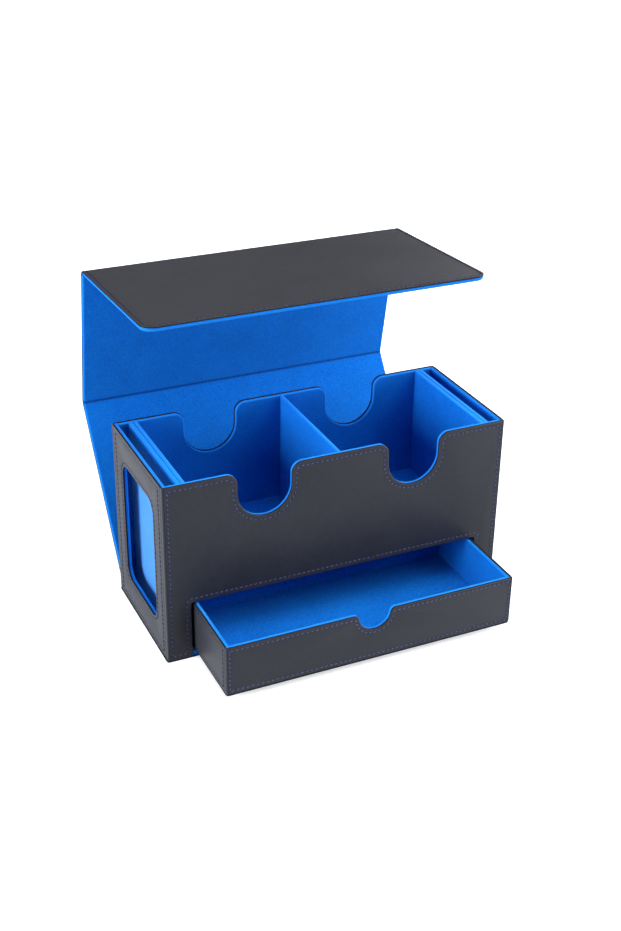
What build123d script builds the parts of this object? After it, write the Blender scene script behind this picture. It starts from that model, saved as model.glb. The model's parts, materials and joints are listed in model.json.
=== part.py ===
from build123d import *
from math import cos, hypot, radians, sin, sqrt
import os

# A lined storage box for trading cards: two card compartments, a narrow display slot behind a window at
# each end, a drawer along the bottom, and a three-panel wrap lid hinged at the bottom rear edge.
# Bookbinder's work: grey board, imitation leather outside and suede-like lining inside.
# Millimetres. X runs along the box, -Y is the front, Z is up. The origin is the middle of the underside.
# The lid is modelled open and the drawer partly out, as the box is usually shown.

os.makedirs("parts", exist_ok=True)

# Case
case_width = 244.0
case_depth = 99.0
case_height = 129.0
case_corner_radius = 1.5
cover_skin = 1.1
wall_board = 1.7
lining_skin = 0.6

# Underside, where the wrap's own leather lies under the case
wrap_cover = 0.9
base_board = 3.0
base_lining = 0.7

# Thumb cut-outs in the front and back walls, one pair for each compartment
thumb_offset = 53.1
thumb_radius = 18.5
thumb_depth = 33.2
thumb_shoulder = 7.6

# Windows in the end walls
window_width = 60.0
window_height = 87.5
window_centre_z = 65.3
window_radius = 9.0

# Inside the case
slot_width = 7.6
partition_ply = 3.1
divider_thickness = 3.6
floor_board = 2.4
bay_headroom = 4.6

# Drawer and its bay
drawer_height = 36.0
drawer_side_play = 1.9
drawer_lift = 0.3
drawer_top_play = 1.1
drawer_back_play = 0.5
drawer_out = 54.4
drawer_board = 1.5
guide_play = 0.4
notch_radius = 11.5
notch_depth = 12.8
notch_shoulder = 3.5

# Wrap lid, and how it clears the closed case
lid_width = 238.4
panel_board = 1.8
panel_lining = 0.7
panel_rim = 0.8
gap_behind = 0.5
gap_above = 3.0
gap_in_front = 2.8
front_panel_length = 128.5
front_panel_radius = 9.0
fold_play = 0.5

# How far the lid stands open, each angle measured from upright
back_panel_angle = 35.0
top_panel_angle = 10.5
front_panel_angle = 87.0

# Disc magnets in the front wall and in the lid's front panel
magnet_radius = 5.0
magnet_thickness = 1.4
magnet_play = 0.1
magnet_offset = 84.0
magnet_height = 66.0

# Sizes that follow
half_width = case_width / 2
half_depth = case_depth / 2
wall = cover_skin + wall_board + lining_skin
board_z = wrap_cover + base_board
floor_z = board_z + base_lining
inner_x = half_width - wall
inner_y = half_depth - wall
partition_x = inner_x - slot_width
bay_x = partition_x - 2 * partition_ply

panel_thickness = wrap_cover + panel_board + panel_lining
half_panel = panel_thickness / 2
fold_reach = half_panel + fold_play
bottom_axis = (half_depth + gap_behind + half_panel, half_panel)
back_panel_length = case_height + gap_above + half_panel - bottom_axis[1]
top_panel_length = case_depth + gap_behind + gap_in_front + panel_thickness

opening_x = bay_x - guide_play
drawer_x = opening_x - drawer_side_play
drawer_z = floor_z + drawer_lift
drawer_top = drawer_z + drawer_height
opening_top = drawer_top + drawer_top_play
floor_board_z = opening_top + bay_headroom
floor_board_top = floor_board_z + floor_board
compartment_floor_z = floor_board_top + lining_skin
drawer_wall = cover_skin + drawer_board + lining_skin
drawer_length = half_depth + inner_y - drawer_back_play

# How far a cutting tool runs past the faces it cuts
overrun = 5.0


def export(name, *solids):
    """Write one node: a single solid, or a group of separate ones."""
    shape = solids[0] if len(solids) == 1 else Compound(children=list(solids))
    export_step(shape, f"parts/{name}.step")


def block(x, y, z):
    """A box between two limits on each axis, given as (low, high) pairs."""
    size = [high - low for low, high in (x, y, z)]
    middle = [(high + low) / 2 for low, high in (x, y, z)]
    return Pos(*middle) * Box(*size)


def finger_cut(centre_x, top_z, depth, radius, shoulder, inset=0.0):
    """A round-bottomed cut with rounded shoulders, in the X-Z plane, grown by inset on every side.

    In a cut too shallow for straight sides, the shoulders come in until they touch the round.
    """
    round_z = top_z - depth + radius
    edge_z = top_z - inset
    grown = radius + inset
    reach = radius + shoulder
    overlap = max(0.0, radius + shoulder - depth)
    across_half = sqrt(reach ** 2 - overlap ** 2)
    shoulder_z = max(top_z - shoulder, round_z - grown * overlap / reach)
    sketch = Pos(centre_x, round_z) * Circle(grown)
    sketch += Pos(centre_x, (round_z + edge_z) / 2) * Rectangle(2 * grown, edge_z - round_z)
    sketch += Pos(centre_x, (shoulder_z + top_z) / 2) * Rectangle(2 * across_half, top_z - shoulder_z)
    for side in (-1, 1):
        sketch -= Pos(centre_x + side * across_half, top_z - shoulder) * Circle(shoulder - inset)
    # the strip above the edge lets the tool clear the top face
    sketch += Pos(centre_x, edge_z + overrun / 2) * Rectangle(2 * across_half, overrun)
    return sketch


def through_y(sketch, low, high):
    """A sketch drawn in X and Z, as a solid between two depths."""
    return extrude(Plane.XZ.offset(-high) * sketch, amount=high - low)


def through_x(sketch, low, high):
    """A sketch drawn in Y and Z, as a solid between two places along the box."""
    return extrude(Plane.YZ.offset(low) * sketch, amount=high - low)


def cover_ring(centre_y, half_x, half_y, skin, low, high):
    """The leather round four walls, as (front, back, left, right) panels that meet in mitres."""
    ring = RectangleRounded(2 * half_x, 2 * half_y, case_corner_radius)
    ring -= Rectangle(2 * (half_x - skin), 2 * (half_y - skin))
    ring = Pos(0, centre_y, low) * extrude(ring, amount=high - low)
    reach = half_y / 2
    panels = []
    for side in (-1, 1):
        outer_y = side * (half_y + overrun)
        inner_y_edge = side * (half_y - reach)
        corners = [(-half_x - overrun, outer_y), (half_x + overrun, outer_y)]
        corners += [(half_x - reach, inner_y_edge), (-half_x + reach, inner_y_edge)]
        wedge = Pos(0, centre_y, low) * extrude(make_face(Polyline(*corners, close=True)), amount=high - low)
        panels.append(ring & wedge)
    ends = ring - panels[0] - panels[1]
    left, right = sorted(ends.solids(), key=lambda solid: solid.center().X)
    return panels[0].solid(), panels[1].solid(), left, right


def lined_wall(outer, sheet, board_cutters, lining_cutters, cap, low):
    """A wall's board and the lining that covers its inner face and turns over its edges.

    outer is the board's own space and sheet the lining sheet's, each as (x, y, z) limits.
    """
    x, y, z = outer
    board = block(x, y, (low, z[1] - cap))
    lining = block(x, y, (low, z[1])) + block(*sheet)
    for cutter in board_cutters:
        board -= cutter
    lining -= board
    for cutter in lining_cutters:
        lining -= cutter
    return board.solid(), lining.solid()


# Underside

base_cover = extrude(RectangleRounded(case_width, case_depth, case_corner_radius), amount=wrap_cover)
board_x = half_width - cover_skin
board_y = half_depth - cover_skin
base_board_solid = block((-board_x, board_x), (-board_y, board_y), (wrap_cover, board_z))
base_lining_solid = block((-inner_x, inner_x), (-inner_y, inner_y), (board_z, floor_z))
base_lining_solid += block((-opening_x, opening_x), (-board_y, -inner_y), (board_z, floor_z))
# in the drawer's opening it turns down over the board's front edge
turn_down_y = (-board_y - lining_skin, -board_y)
base_lining_solid += block((-opening_x, opening_x), turn_down_y, (wrap_cover, floor_z))

# Case walls

sheet_x = board_x - wall_board
sheet_y = board_y - wall_board
thumb_centres = (-thumb_offset, thumb_offset)


def thumb_cutters(low, high, inset=0.0):
    """The two thumb cut-outs as solids between two depths."""
    cuts = []
    for centre in thumb_centres:
        cut = finger_cut(centre, case_height, thumb_depth, thumb_radius, thumb_shoulder, inset)
        cuts.append(through_y(cut, low, high))
    return cuts


def drawer_cutter(low, high, inset=0.0):
    """The drawer's way through the front wall, open at the bottom."""
    limits = (-opening_x - inset, opening_x + inset)
    return block(limits, (low, high), (0, opening_top + inset))


def window_cutter(low, high, inset=0.0):
    """A window with rounded corners, as a solid between two places along the box."""
    size = (window_width + 2 * inset, window_height + 2 * inset)
    outline = Pos(0, window_centre_z) * RectangleRounded(*size, window_radius + inset)
    return through_x(outline, low, high)


front_cover, back_cover, left_cover, right_cover = cover_ring(
    0, half_width, half_depth, cover_skin, wrap_cover, case_height
)
front_reach = (-half_depth - overrun, -inner_y + overrun)
back_reach = (inner_y - overrun, half_depth + overrun)
for cutter in thumb_cutters(*front_reach) + [drawer_cutter(*front_reach)]:
    front_cover -= cutter
for cutter in thumb_cutters(*back_reach):
    back_cover -= cutter
left_cover -= window_cutter(-half_width - overrun, -inner_x + overrun)
right_cover -= window_cutter(inner_x - overrun, half_width + overrun)

top = case_height
front_board, front_lining = lined_wall(
    ((-board_x, board_x), (-board_y, -sheet_y), (board_z, top)),
    ((-sheet_x, sheet_x), (-sheet_y, -inner_y), (floor_z, top)),
    thumb_cutters(*front_reach, lining_skin) + [drawer_cutter(*front_reach, lining_skin)],
    thumb_cutters(*front_reach) + [drawer_cutter(*front_reach)],
    lining_skin,
    board_z,
)
back_board, back_lining = lined_wall(
    ((-board_x, board_x), (sheet_y, board_y), (board_z, top)),
    ((-sheet_x, sheet_x), (inner_y, sheet_y), (floor_z, top)),
    thumb_cutters(*back_reach, lining_skin),
    thumb_cutters(*back_reach),
    lining_skin,
    board_z,
)
left_board, left_lining = lined_wall(
    ((-board_x, -sheet_x), (-sheet_y, sheet_y), (board_z, top)),
    ((-sheet_x, -inner_x), (-inner_y, inner_y), (floor_z, top)),
    [window_cutter(-half_width, -inner_x + overrun, lining_skin)],
    [window_cutter(-half_width, -inner_x + overrun)],
    lining_skin,
    board_z,
)
right_board, right_lining = lined_wall(
    ((sheet_x, board_x), (-sheet_y, sheet_y), (board_z, top)),
    ((inner_x, sheet_x), (-inner_y, inner_y), (floor_z, top)),
    [window_cutter(inner_x - overrun, half_width, lining_skin)],
    [window_cutter(inner_x - overrun, half_width)],
    lining_skin,
    board_z,
)

# Partitions, divider and compartment floor


def across(low, high, z_low):
    """A lined board from the front lining to the back lining, up to the rim."""
    return block((low, high), (-inner_y, inner_y), (z_low, case_height))


slot_plies = [across(-partition_x, -partition_x + partition_ply, floor_z)]
slot_plies.append(across(partition_x - partition_ply, partition_x, floor_z))
bay_plies = [across(-bay_x - partition_ply, -bay_x, floor_z)]
bay_plies.append(across(bay_x, bay_x + partition_ply, floor_z))
divider_x = divider_thickness / 2
centre_divider = across(-divider_x, divider_x, floor_board_top)
compartment_floor = block((-bay_x, bay_x), (-inner_y, inner_y), (floor_board_z, floor_board_top))
floor_z_limits = (floor_board_top, compartment_floor_z)
floor_linings = [
    block((-bay_x, -divider_x), (-inner_y, inner_y), floor_z_limits),
    block((divider_x, bay_x), (-inner_y, inner_y), floor_z_limits),
]

# Magnets in the front wall, each in a pocket of its board, behind the leather

case_magnets = []
for side in (-1, 1):
    seat = Pos(side * magnet_offset, -board_y + magnet_thickness / 2, magnet_height) * Rot(90, 0, 0)
    front_board -= seat * Cylinder(magnet_radius + magnet_play, magnet_thickness)
    case_magnets.append(seat * Cylinder(magnet_radius, magnet_thickness))

export("base_cover", base_cover)
export("base_board", base_board_solid)
export("base_lining", base_lining_solid)
export("front_cover", front_cover)
export("back_cover", back_cover)
export("left_cover", left_cover)
export("right_cover", right_cover)
export("front_board", front_board)
export("back_board", back_board)
export("left_board", left_board)
export("right_board", right_board)
export("front_lining", front_lining)
export("back_lining", back_lining)
export("left_lining", left_lining)
export("right_lining", right_lining)
export("left_slot_ply", slot_plies[0])
export("right_slot_ply", slot_plies[1])
export("left_bay_ply", bay_plies[0])
export("right_bay_ply", bay_plies[1])
export("centre_divider", centre_divider)
export("compartment_floor", compartment_floor)
export("left_floor_lining", floor_linings[0])
export("right_floor_lining", floor_linings[1])
export("case_magnets", *case_magnets)

# Drawer, modelled shut and then drawn out

drawer_rear = -half_depth + drawer_length
drawer_middle = drawer_rear - drawer_length / 2
drawer_half = drawer_length / 2
drawer_board_z = drawer_z + cover_skin
drawer_floor_z = drawer_board_z + drawer_board
drawer_inside_z = drawer_floor_z + lining_skin
drawer_board_x = drawer_x - cover_skin
drawer_sheet_x = drawer_board_x - drawer_board
drawer_inner_x = drawer_sheet_x - lining_skin
board_front = -half_depth + cover_skin
board_rear = drawer_rear - cover_skin
sheet_front = board_front + drawer_board
sheet_rear = board_rear - drawer_board
inner_front = sheet_front + lining_skin
inner_rear = sheet_rear - lining_skin


def notch_cutter(inset=0.0):
    """The finger notch in the drawer's front, as a solid through that wall."""
    cut = finger_cut(0, drawer_top, notch_depth, notch_radius, notch_shoulder, inset)
    return through_y(cut, -half_depth - overrun, inner_front + overrun)


drawer_front_cover, drawer_back_cover, drawer_left_cover, drawer_right_cover = cover_ring(
    drawer_middle, drawer_x, drawer_half, cover_skin, drawer_board_z, drawer_top
)
drawer_front_cover -= notch_cutter()
drawer_bottom_cover = extrude(RectangleRounded(2 * drawer_x, drawer_length, case_corner_radius), cover_skin)
drawer_bottom_cover = Pos(0, drawer_middle, drawer_z) * drawer_bottom_cover
drawer_bottom_board = block(
    (-drawer_board_x, drawer_board_x), (board_front, board_rear), (drawer_board_z, drawer_floor_z)
)
drawer_bottom_lining = block(
    (-drawer_inner_x, drawer_inner_x), (inner_front, inner_rear), (drawer_floor_z, drawer_inside_z)
)
drawer_front_board, drawer_front_lining = lined_wall(
    ((-drawer_board_x, drawer_board_x), (board_front, sheet_front), (drawer_floor_z, drawer_top)),
    ((-drawer_sheet_x, drawer_sheet_x), (sheet_front, inner_front), (drawer_floor_z, drawer_top)),
    [notch_cutter(lining_skin)],
    [notch_cutter()],
    lining_skin,
    drawer_floor_z,
)
drawer_back_board, drawer_back_lining = lined_wall(
    ((-drawer_board_x, drawer_board_x), (sheet_rear, board_rear), (drawer_floor_z, drawer_top)),
    ((-drawer_sheet_x, drawer_sheet_x), (inner_rear, sheet_rear), (drawer_floor_z, drawer_top)),
    [],
    [],
    lining_skin,
    drawer_floor_z,
)
side_y = (sheet_front, sheet_rear)
side_sheet_y = (inner_front, inner_rear)
drawer_left_board, drawer_left_lining = lined_wall(
    ((-drawer_board_x, -drawer_sheet_x), side_y, (drawer_floor_z, drawer_top)),
    ((-drawer_sheet_x, -drawer_inner_x), side_sheet_y, (drawer_floor_z, drawer_top)),
    [],
    [],
    lining_skin,
    drawer_floor_z,
)
drawer_right_board, drawer_right_lining = lined_wall(
    ((drawer_sheet_x, drawer_board_x), side_y, (drawer_floor_z, drawer_top)),
    ((drawer_inner_x, drawer_sheet_x), side_sheet_y, (drawer_floor_z, drawer_top)),
    [],
    [],
    lining_skin,
    drawer_floor_z,
)

drawn = Pos(0, -drawer_out, 0)
export("drawer_front_cover", drawn * drawer_front_cover)
export("drawer_back_cover", drawn * drawer_back_cover)
export("drawer_left_cover", drawn * drawer_left_cover)
export("drawer_right_cover", drawn * drawer_right_cover)
export("drawer_bottom_cover", drawn * drawer_bottom_cover)
export("drawer_front_board", drawn * drawer_front_board)
export("drawer_back_board", drawn * drawer_back_board)
export("drawer_left_board", drawn * drawer_left_board)
export("drawer_right_board", drawn * drawer_right_board)
export("drawer_bottom_board", drawn * drawer_bottom_board)
export("drawer_front_lining", drawn * drawer_front_lining)
export("drawer_back_lining", drawn * drawer_back_lining)
export("drawer_left_lining", drawn * drawer_left_lining)
export("drawer_right_lining", drawn * drawer_right_lining)
export("drawer_bottom_lining", drawn * drawer_bottom_lining)

# Lid panels. Each is drawn flat, X along the box, Y away from its lower fold and Z towards the lining,
# with the fold's axis at the origin in the middle of the panel's thickness. It is then stood at its lean.


def along(lean):
    """The direction in Y and Z in which a panel runs from its lower fold, for its lean to the rear."""
    return (sin(radians(lean)), cos(radians(lean)))


def outward(lean):
    """The direction in Y and Z of a panel's leather side."""
    return (cos(radians(lean)), -sin(radians(lean)))


def beyond(axis, lean, distance):
    """The next fold's axis, a panel's length along."""
    step = along(lean)
    return (axis[0] + distance * step[0], axis[1] + distance * step[1])


def standing(axis, lean):
    """The place of a panel that is drawn flat, stood on its lower fold."""
    out_y, out_z = outward(lean)
    return Plane(origin=(0, axis[0], axis[1]), x_dir=(1, 0, 0), z_dir=(0, -out_y, -out_z))


def panel_outline(start, end, half, free_radius=0.0, inset=0.0):
    """A panel's outline, with its free corners rounded where free_radius is given."""
    free = inset if free_radius else 0.0
    outline = Pos(0, (start + end - free) / 2) * Rectangle(2 * (half - inset), end - free - start)
    if free_radius:
        corners = outline.vertices().sort_by(Axis.Y)[-2:]
        outline = fillet(corners, free_radius - inset)
    return outline


def lid_panel(length, free_radius=0.0):
    """One panel as (leather, board, lining), from fold to fold or from a fold to a free edge."""
    half = lid_width / 2
    start = fold_reach
    end = length if free_radius else length - fold_reach
    outline = panel_outline(start, end, half, free_radius)
    cover = extrude(Pos(0, 0, -half_panel) * outline, amount=wrap_cover)
    core = panel_outline(start, end, half, free_radius, panel_rim)
    board = extrude(Pos(0, 0, wrap_cover - half_panel) * core, amount=panel_board)
    lining = extrude(Pos(0, 0, wrap_cover - half_panel) * outline, amount=panel_board + panel_lining)
    return cover, board, lining - board


rear_axis = beyond(bottom_axis, back_panel_angle, back_panel_length)
front_axis = beyond(rear_axis, -top_panel_angle, top_panel_length)
back_place = standing(bottom_axis, back_panel_angle)
top_place = standing(rear_axis, -top_panel_angle)
front_place = standing(front_axis, -front_panel_angle)

back_panel = lid_panel(back_panel_length)
top_panel = lid_panel(top_panel_length)
front_panel_cover, front_panel_board, front_panel_lining = lid_panel(front_panel_length, front_panel_radius)

# The lid's magnets meet the case's when it is shut
shut_axis_z = bottom_axis[1] + back_panel_length
lid_magnets = []
for side in (-1, 1):
    seat_z = half_panel - panel_lining - magnet_thickness / 2
    seat = Pos(side * magnet_offset, shut_axis_z - magnet_height, seat_z)
    front_panel_board -= seat * Cylinder(magnet_radius + magnet_play, magnet_thickness)
    lid_magnets.append(front_place * seat * Cylinder(magnet_radius, magnet_thickness))

export("back_panel_cover", back_place * back_panel[0])
export("back_panel_board", back_place * back_panel[1])
export("back_panel_lining", back_place * back_panel[2])
export("top_panel_cover", top_place * top_panel[0])
export("top_panel_board", top_place * top_panel[1])
export("top_panel_lining", top_place * top_panel[2])
export("front_panel_cover", front_place * front_panel_cover)
export("front_panel_board", front_place * front_panel_board)
export("front_panel_lining", front_place * front_panel_lining)
export("lid_magnets", *lid_magnets)

# Folds: the leather goes round the outside of each bend and the lining across its inside


def fold_point(axis, direction, reach, normal, height):
    """A point of a fold's section: out along one panel, and up from the middle of its thickness."""
    y = axis[0] + reach * direction[0] + height * normal[0]
    z = axis[1] + reach * direction[1] + height * normal[1]
    return (y, z)


def fold_strip(axis, first, second, first_out, second_out, outer, inner):
    """A bent strip between two panels, of which first and second are the directions.

    outer and inner are the heights of its faces above the middle of the panels, towards the leather.
    A strip on the leather side bends round the axis, and one on the lining side meets at the bisector.
    """
    both = (first_out[0] + second_out[0], first_out[1] + second_out[1])
    halfway = (both[0] / hypot(*both), both[1] / hypot(*both))
    facing = first_out[0] * halfway[0] + first_out[1] * halfway[1]
    lines = []
    for height in (outer, inner):
        ends = [
            fold_point(axis, first, fold_reach, first_out, height),
            fold_point(axis, second, fold_reach, second_out, height),
        ]
        if height > 0:
            turn = [fold_point(axis, first, 0, normal, height) for normal in (first_out, halfway, second_out)]
            lines.append([Line(ends[0], turn[0]), ThreePointArc(*turn), Line(turn[2], ends[1])])
        else:
            corner = fold_point(axis, first, 0, halfway, height / facing)
            lines.append([Line(ends[0], corner), Line(corner, ends[1])])
    first_cap = Line(lines[0][0] @ 0, lines[1][0] @ 0)
    second_cap = Line(lines[0][-1] @ 1, lines[1][-1] @ 1)
    section = make_face(Curve() + lines[0] + lines[1] + [first_cap, second_cap])
    return through_x(section, -lid_width / 2, lid_width / 2)


def fold_pair(axis, first, second, first_out, second_out):
    """A fold's leather strip and lining strip."""
    leather = fold_strip(axis, first, second, first_out, second_out, half_panel, half_panel - wrap_cover)
    lining_top = panel_lining - half_panel
    lining = fold_strip(axis, first, second, first_out, second_out, lining_top, -half_panel)
    return leather, lining


def reverse(direction):
    """The direction from a fold back along the panel below it."""
    return (-direction[0], -direction[1])


back_along_panel = along(back_panel_angle)
top_along_panel = along(-top_panel_angle)
front_along_panel = along(-front_panel_angle)
back_out = outward(back_panel_angle)
top_out = outward(-top_panel_angle)
front_out = outward(-front_panel_angle)
under_base = (-1, 0)
base_out = (0, -1)
bottom_fold = fold_pair(bottom_axis, under_base, back_along_panel, base_out, back_out)
rear_fold = fold_pair(rear_axis, reverse(back_along_panel), top_along_panel, back_out, top_out)
front_fold = fold_pair(front_axis, reverse(top_along_panel), front_along_panel, top_out, front_out)

export("bottom_fold_cover", bottom_fold[0])
export("bottom_fold_lining", bottom_fold[1])
export("rear_fold_cover", rear_fold[0])
export("rear_fold_lining", rear_fold[1])
export("front_fold_cover", front_fold[0])
export("front_fold_lining", front_fold[1])

# Where the folds' axes lie, as Y and Z
print("bottom axis", bottom_axis, "rear axis", rear_axis, "front axis", front_axis)
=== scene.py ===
import json
import math

import bmesh
import bpy
import numpy as np
from mathutils import Matrix, Vector
from mathutils.geometry import tessellate_polygon


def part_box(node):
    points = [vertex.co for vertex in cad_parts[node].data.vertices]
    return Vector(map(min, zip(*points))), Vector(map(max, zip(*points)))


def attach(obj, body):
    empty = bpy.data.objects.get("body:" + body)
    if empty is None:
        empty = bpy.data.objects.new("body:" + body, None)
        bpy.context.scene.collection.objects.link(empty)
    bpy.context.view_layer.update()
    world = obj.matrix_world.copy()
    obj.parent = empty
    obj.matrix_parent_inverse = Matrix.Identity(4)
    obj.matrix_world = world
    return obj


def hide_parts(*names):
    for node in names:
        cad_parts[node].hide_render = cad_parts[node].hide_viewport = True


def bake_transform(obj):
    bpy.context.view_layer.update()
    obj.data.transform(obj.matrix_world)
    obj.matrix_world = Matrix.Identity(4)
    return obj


# A lined storage box for trading cards, open, with its drawer partly out. Sizes are in metres.

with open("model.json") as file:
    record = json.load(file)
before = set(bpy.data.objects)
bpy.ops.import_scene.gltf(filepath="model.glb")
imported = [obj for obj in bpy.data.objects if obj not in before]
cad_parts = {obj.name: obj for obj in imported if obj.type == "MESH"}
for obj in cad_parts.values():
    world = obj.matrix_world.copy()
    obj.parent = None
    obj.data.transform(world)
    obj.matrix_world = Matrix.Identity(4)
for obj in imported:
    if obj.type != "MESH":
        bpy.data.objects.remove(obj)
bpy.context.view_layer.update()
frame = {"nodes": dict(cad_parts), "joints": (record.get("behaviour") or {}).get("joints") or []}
mm = 0.001

# The table it stands on, the light and the camera. A pale sweep with no edge in view, a broad lamp low on
# each side and five weaker ones above. The camera looks down from the left-hand front.

floor_half = 12.0
floor_colour = (0.62, 0.66, 0.72, 1)
floor_roughness = 0.9
floor_glow = 0.57
far_glow = 1.1
near_floor = 0.25
far_floor = 1.2
glossy_glow = 0.52
world_strength = 0.05
glossy_world = 0.14
camera_place = (-0.35697, -0.76414, 0.54210)
camera_azimuth = math.radians(25.12)
camera_elevation = math.radians(27.88)
camera_roll = math.radians(0.89)
camera_lens = 54.45
sensor_width = 36.0
nearest_seen = 0.05
furthest_seen = 60.0
white = (1, 1, 1, 1)
box_middle = (0.0, 0.0, 0.09)
lamps = {
    "left_key": ((-1.9, -0.14, 0.45), 1.1, 77),
    "left_high": ((-1.5, 0.15, 1.25), 1.1, 3),
    "right_key": ((1.85, -0.36, 0.4), 1.1, 80),
    "right_back": ((1.6, 1.0, 0.8), 1.1, 18),
    "right_front": ((1.1, -1.2, 1.5), 1.2, 24),
    "top_front": ((0.0, -0.45, 2.0), 1.2, 28),
    "top_back": ((0.0, 1.4, 1.7), 1.4, 9),
}


def new_material(name):
    """A new material with its nodes: the shader and the output."""
    made = bpy.data.materials.new(name)
    made.use_nodes = True
    nodes = made.node_tree.nodes
    return made, nodes, made.node_tree.links, nodes["Principled BSDF"]


def set_inputs(node, values):
    """Sets a node's inputs by name."""
    for label, value in values.items():
        node.inputs[label].default_value = value


def combine(nodes, links, operation, *values):
    """Values, each a socket or a plain number, through one arithmetic node."""
    sum_node = nodes.new("ShaderNodeMath")
    sum_node.operation = operation
    for socket, value in zip(sum_node.inputs, values):
        if isinstance(value, float):
            socket.default_value = value
        else:
            links.new(value, socket)
    return sum_node.outputs[0]


def in_scene(name, data):
    """A new object, put into the scene."""
    item = bpy.data.objects.new(name, data)
    bpy.context.scene.collection.objects.link(item)
    return item


def soft_lamp(name, place, target, size, power):
    """A square white lamp at a place, facing a target."""
    light = bpy.data.lights.new(name, "AREA")
    light.size = size
    light.energy = power
    lamp = in_scene(name, light)
    lamp.location = place
    lamp.rotation_euler = (Vector(target) - Vector(place)).to_track_quat("-Z", "Y").to_euler()


floor_mesh = bpy.data.meshes.new("floor")
floor_corners = [(-1, -1, 0), (1, -1, 0), (1, 1, 0), (-1, 1, 0)]
floor_mesh.from_pydata([(x * floor_half, y * floor_half, z) for x, y, z in floor_corners], [], [(0, 1, 2, 3)])
floor = in_scene("floor", floor_mesh)
floor_material, nodes, links, shader = new_material("white_table")
set_inputs(shader, {"Base Color": floor_colour, "Roughness": floor_roughness, "Specular IOR Level": 0.0})
light_path = nodes.new("ShaderNodeLightPath")
glow = nodes.new("ShaderNodeEmission")
glow.inputs["Color"].default_value = white
floor_place = nodes.new("ShaderNodeTexCoord")
away = nodes.new("ShaderNodeVectorMath")
away.operation = "LENGTH"
glow_by_distance = nodes.new("ShaderNodeMapRange")
set_inputs(glow_by_distance, {"From Min": near_floor, "From Max": far_floor,
                              "To Min": floor_glow, "To Max": far_glow})
distance_glow = glow_by_distance.outputs["Result"]
direct = combine(nodes, links, "MULTIPLY", light_path.outputs["Is Camera Ray"], distance_glow)
glossy_ray = light_path.outputs["Is Glossy Ray"]
glow_amount = combine(nodes, links, "MULTIPLY_ADD", glossy_ray, glossy_glow, direct)
both = nodes.new("ShaderNodeAddShader")
links.new(floor_place.outputs["Object"], away.inputs[0])
links.new(away.outputs["Value"], glow_by_distance.inputs["Value"])
links.new(glow_amount, glow.inputs["Strength"])
links.new(shader.outputs[0], both.inputs[0])
links.new(glow.outputs[0], both.inputs[1])
links.new(both.outputs[0], nodes["Material Output"].inputs["Surface"])
floor_mesh.materials.append(floor_material)

world = bpy.data.worlds.new("studio")
world.use_nodes = True
bpy.context.scene.world = world
nodes, links = world.node_tree.nodes, world.node_tree.links
background = nodes["Background"]
background.inputs["Color"].default_value = white
light_path = nodes.new("ShaderNodeLightPath")
mirrored = nodes.new("ShaderNodeMix")
set_inputs(mirrored, {"A": world_strength, "B": glossy_world})
seen = nodes.new("ShaderNodeMix")
seen.inputs["B"].default_value = 1.0
links.new(light_path.outputs["Is Glossy Ray"], mirrored.inputs["Factor"])
links.new(mirrored.outputs["Result"], seen.inputs["A"])
links.new(light_path.outputs["Is Camera Ray"], seen.inputs["Factor"])
links.new(seen.outputs["Result"], background.inputs["Strength"])

for name, (place, size, power) in lamps.items():
    soft_lamp(name, place, box_middle, size, power)

camera = in_scene("camera", bpy.data.cameras.new("camera"))
camera.data.lens = camera_lens
camera.data.sensor_width = sensor_width
camera.data.clip_start = nearest_seen
camera.data.clip_end = furthest_seen
level = math.cos(camera_elevation)
ahead = (math.sin(camera_azimuth) * level, math.cos(camera_azimuth) * level, -math.sin(camera_elevation))
forward = Vector(ahead)
level_right = Vector((math.cos(camera_azimuth), -math.sin(camera_azimuth), 0))
level_up = level_right.cross(forward)
right = level_right * math.cos(camera_roll) + level_up * math.sin(camera_roll)
up = right.cross(forward)
camera.matrix_world = Matrix.Translation(camera_place) @ Matrix((right, up, -forward)).transposed().to_4x4()
bpy.context.scene.camera = camera
bpy.context.scene.view_settings.view_transform = "Standard"

# The case's leather: black imitation leather glued over the boards, one panel to each wall and a narrow
# strip that binds each upright corner. Every edge is pared round, and pressed down along its stitches.

case_low, case_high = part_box("front_cover")
half_width = case_high.x
half_depth = -case_low.y
case_top = case_high.z
case_foot = case_low.z
leather_thickness = case_high.y - case_low.y
leather_round = 0.5 * mm
corner_round = 1.0 * mm
strip_width = 3.5 * mm
strip_round = 0.6 * mm
far_round = 0.2 * mm
seam_gap = 0.06 * mm
lip_depth = 0.38 * mm
lip_width = 0.33 * mm
stitch_inset = 3.3 * mm
front_stitch = 2.2 * mm
end_stitch = 3.9 * mm
window_stitch = 2.5 * mm
groove_depth = 0.12 * mm
groove_half = 0.55 * mm
groove_run = 1.6
groove_rows = 7
edge_ease = 0.02 * mm
edge_swell = 0.04 * mm
swell_left = 0.4
edge_width = 1.6 * mm
arc_step = math.radians(6)
same_point = 1e-7
sharp_angle = math.radians(40)
thumb_offset = 53.1 * mm
thumb_radius = 18.5 * mm
thumb_depth = 33.2 * mm
thumb_shoulder = 7.6 * mm
opening_half = 104.4 * mm
opening_top = 42.0 * mm
opening_corner = 1.0 * mm
window_half = 30.0 * mm
window_low = 21.55 * mm
window_high = 109.05 * mm
window_corner = 9.0 * mm
leather_colour = (0.0172, 0.0182, 0.0242, 1)
leather_light = (0.0196, 0.0208, 0.0274, 1)
leather_edge = (0.0020, 0.0020, 0.0028, 1)
leather_satin = (0.46, 0.50)
leather_specular = 0.19
rim_span = (0.92, 0.98)
rim_dryness = 0.45
pebble_scale = 1050
pebble_round = 0.32
wobble_scale = 900
wobble_reach = 0.6 * mm
fine_scale = 3800
fine_share = 0.35
patch_scale = 38
blotch_scale = 240
mottle_span = (0.75, 1.25)
grain_strength = 0.55
grain_depth = 0.05 * mm


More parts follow.
